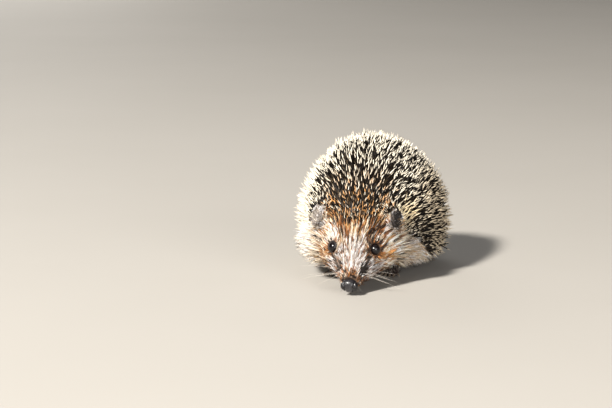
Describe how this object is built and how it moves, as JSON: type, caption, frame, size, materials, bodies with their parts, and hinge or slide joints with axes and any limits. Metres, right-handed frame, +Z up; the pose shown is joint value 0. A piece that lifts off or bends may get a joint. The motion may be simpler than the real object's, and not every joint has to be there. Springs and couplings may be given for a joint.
{
  "type": "hedgehog figure",
  "caption": "Life-size young hedgehog standing low on short legs, nose close to the ground, with a spiny back, furred face and flanks, round eyes, small ears and clawed paws.",
  "frame": {"origin": "on the floor under the middle of the animal's bounding box", "axes": "+Z up, the animal faces -Y and its left side is +X"},
  "size_m": [0.092, 0.1588, 0.0851],
  "materials": {
    "spiny_coat": "banded cream and dark brown spines",
    "face_fur": "short cream and orange-brown fur",
    "flank_fur": "long coarse tan and grey fur",
    "ear_skin": "dark skin with a thin pale down",
    "paw_skin": "dark wrinkled skin",
    "nose_skin": "wet black pebbled skin",
    "eye": "wet black",
    "claw_horn": "smooth dark horn"
  },
  "bodies": {
    "root": {"trunk": "spiny_coat", "neck": "spiny_coat", "head": "face_fur", "snout": "face_fur", "lower_jaw": "face_fur", "nose": "nose_skin", "eye_left": "eye", "eye_right": "eye", "ear_left": "ear_skin", "ear_right": "ear_skin", "foreleg_left": "flank_fur", "foreleg_right": "flank_fur", "hindleg_left": "flank_fur", "hindleg_right": "flank_fur", "forepaw_left": "paw_skin", "forepaw_right": "paw_skin", "hindpaw_left": "paw_skin", "hindpaw_right": "paw_skin", "tail": "flank_fur", "foreclaw_left_1": "claw_horn", "foreclaw_left_2": "claw_horn", "foreclaw_left_3": "claw_horn", "foreclaw_left_4": "claw_horn", "foreclaw_left_5": "claw_horn", "foreclaw_right_1": "claw_horn", "foreclaw_right_2": "claw_horn", "foreclaw_right_3": "claw_horn", "foreclaw_right_4": "claw_horn", "foreclaw_right_5": "claw_horn", "hindclaw_left_1": "claw_horn", "hindclaw_left_2": "claw_horn", "hindclaw_left_3": "claw_horn", "hindclaw_left_4": "claw_horn", "hindclaw_left_5": "claw_horn", "hindclaw_right_1": "claw_horn", "hindclaw_right_2": "claw_horn", "hindclaw_right_3": "claw_horn", "hindclaw_right_4": "claw_horn", "hindclaw_right_5": "claw_horn"}
  },
  "joints": []
}
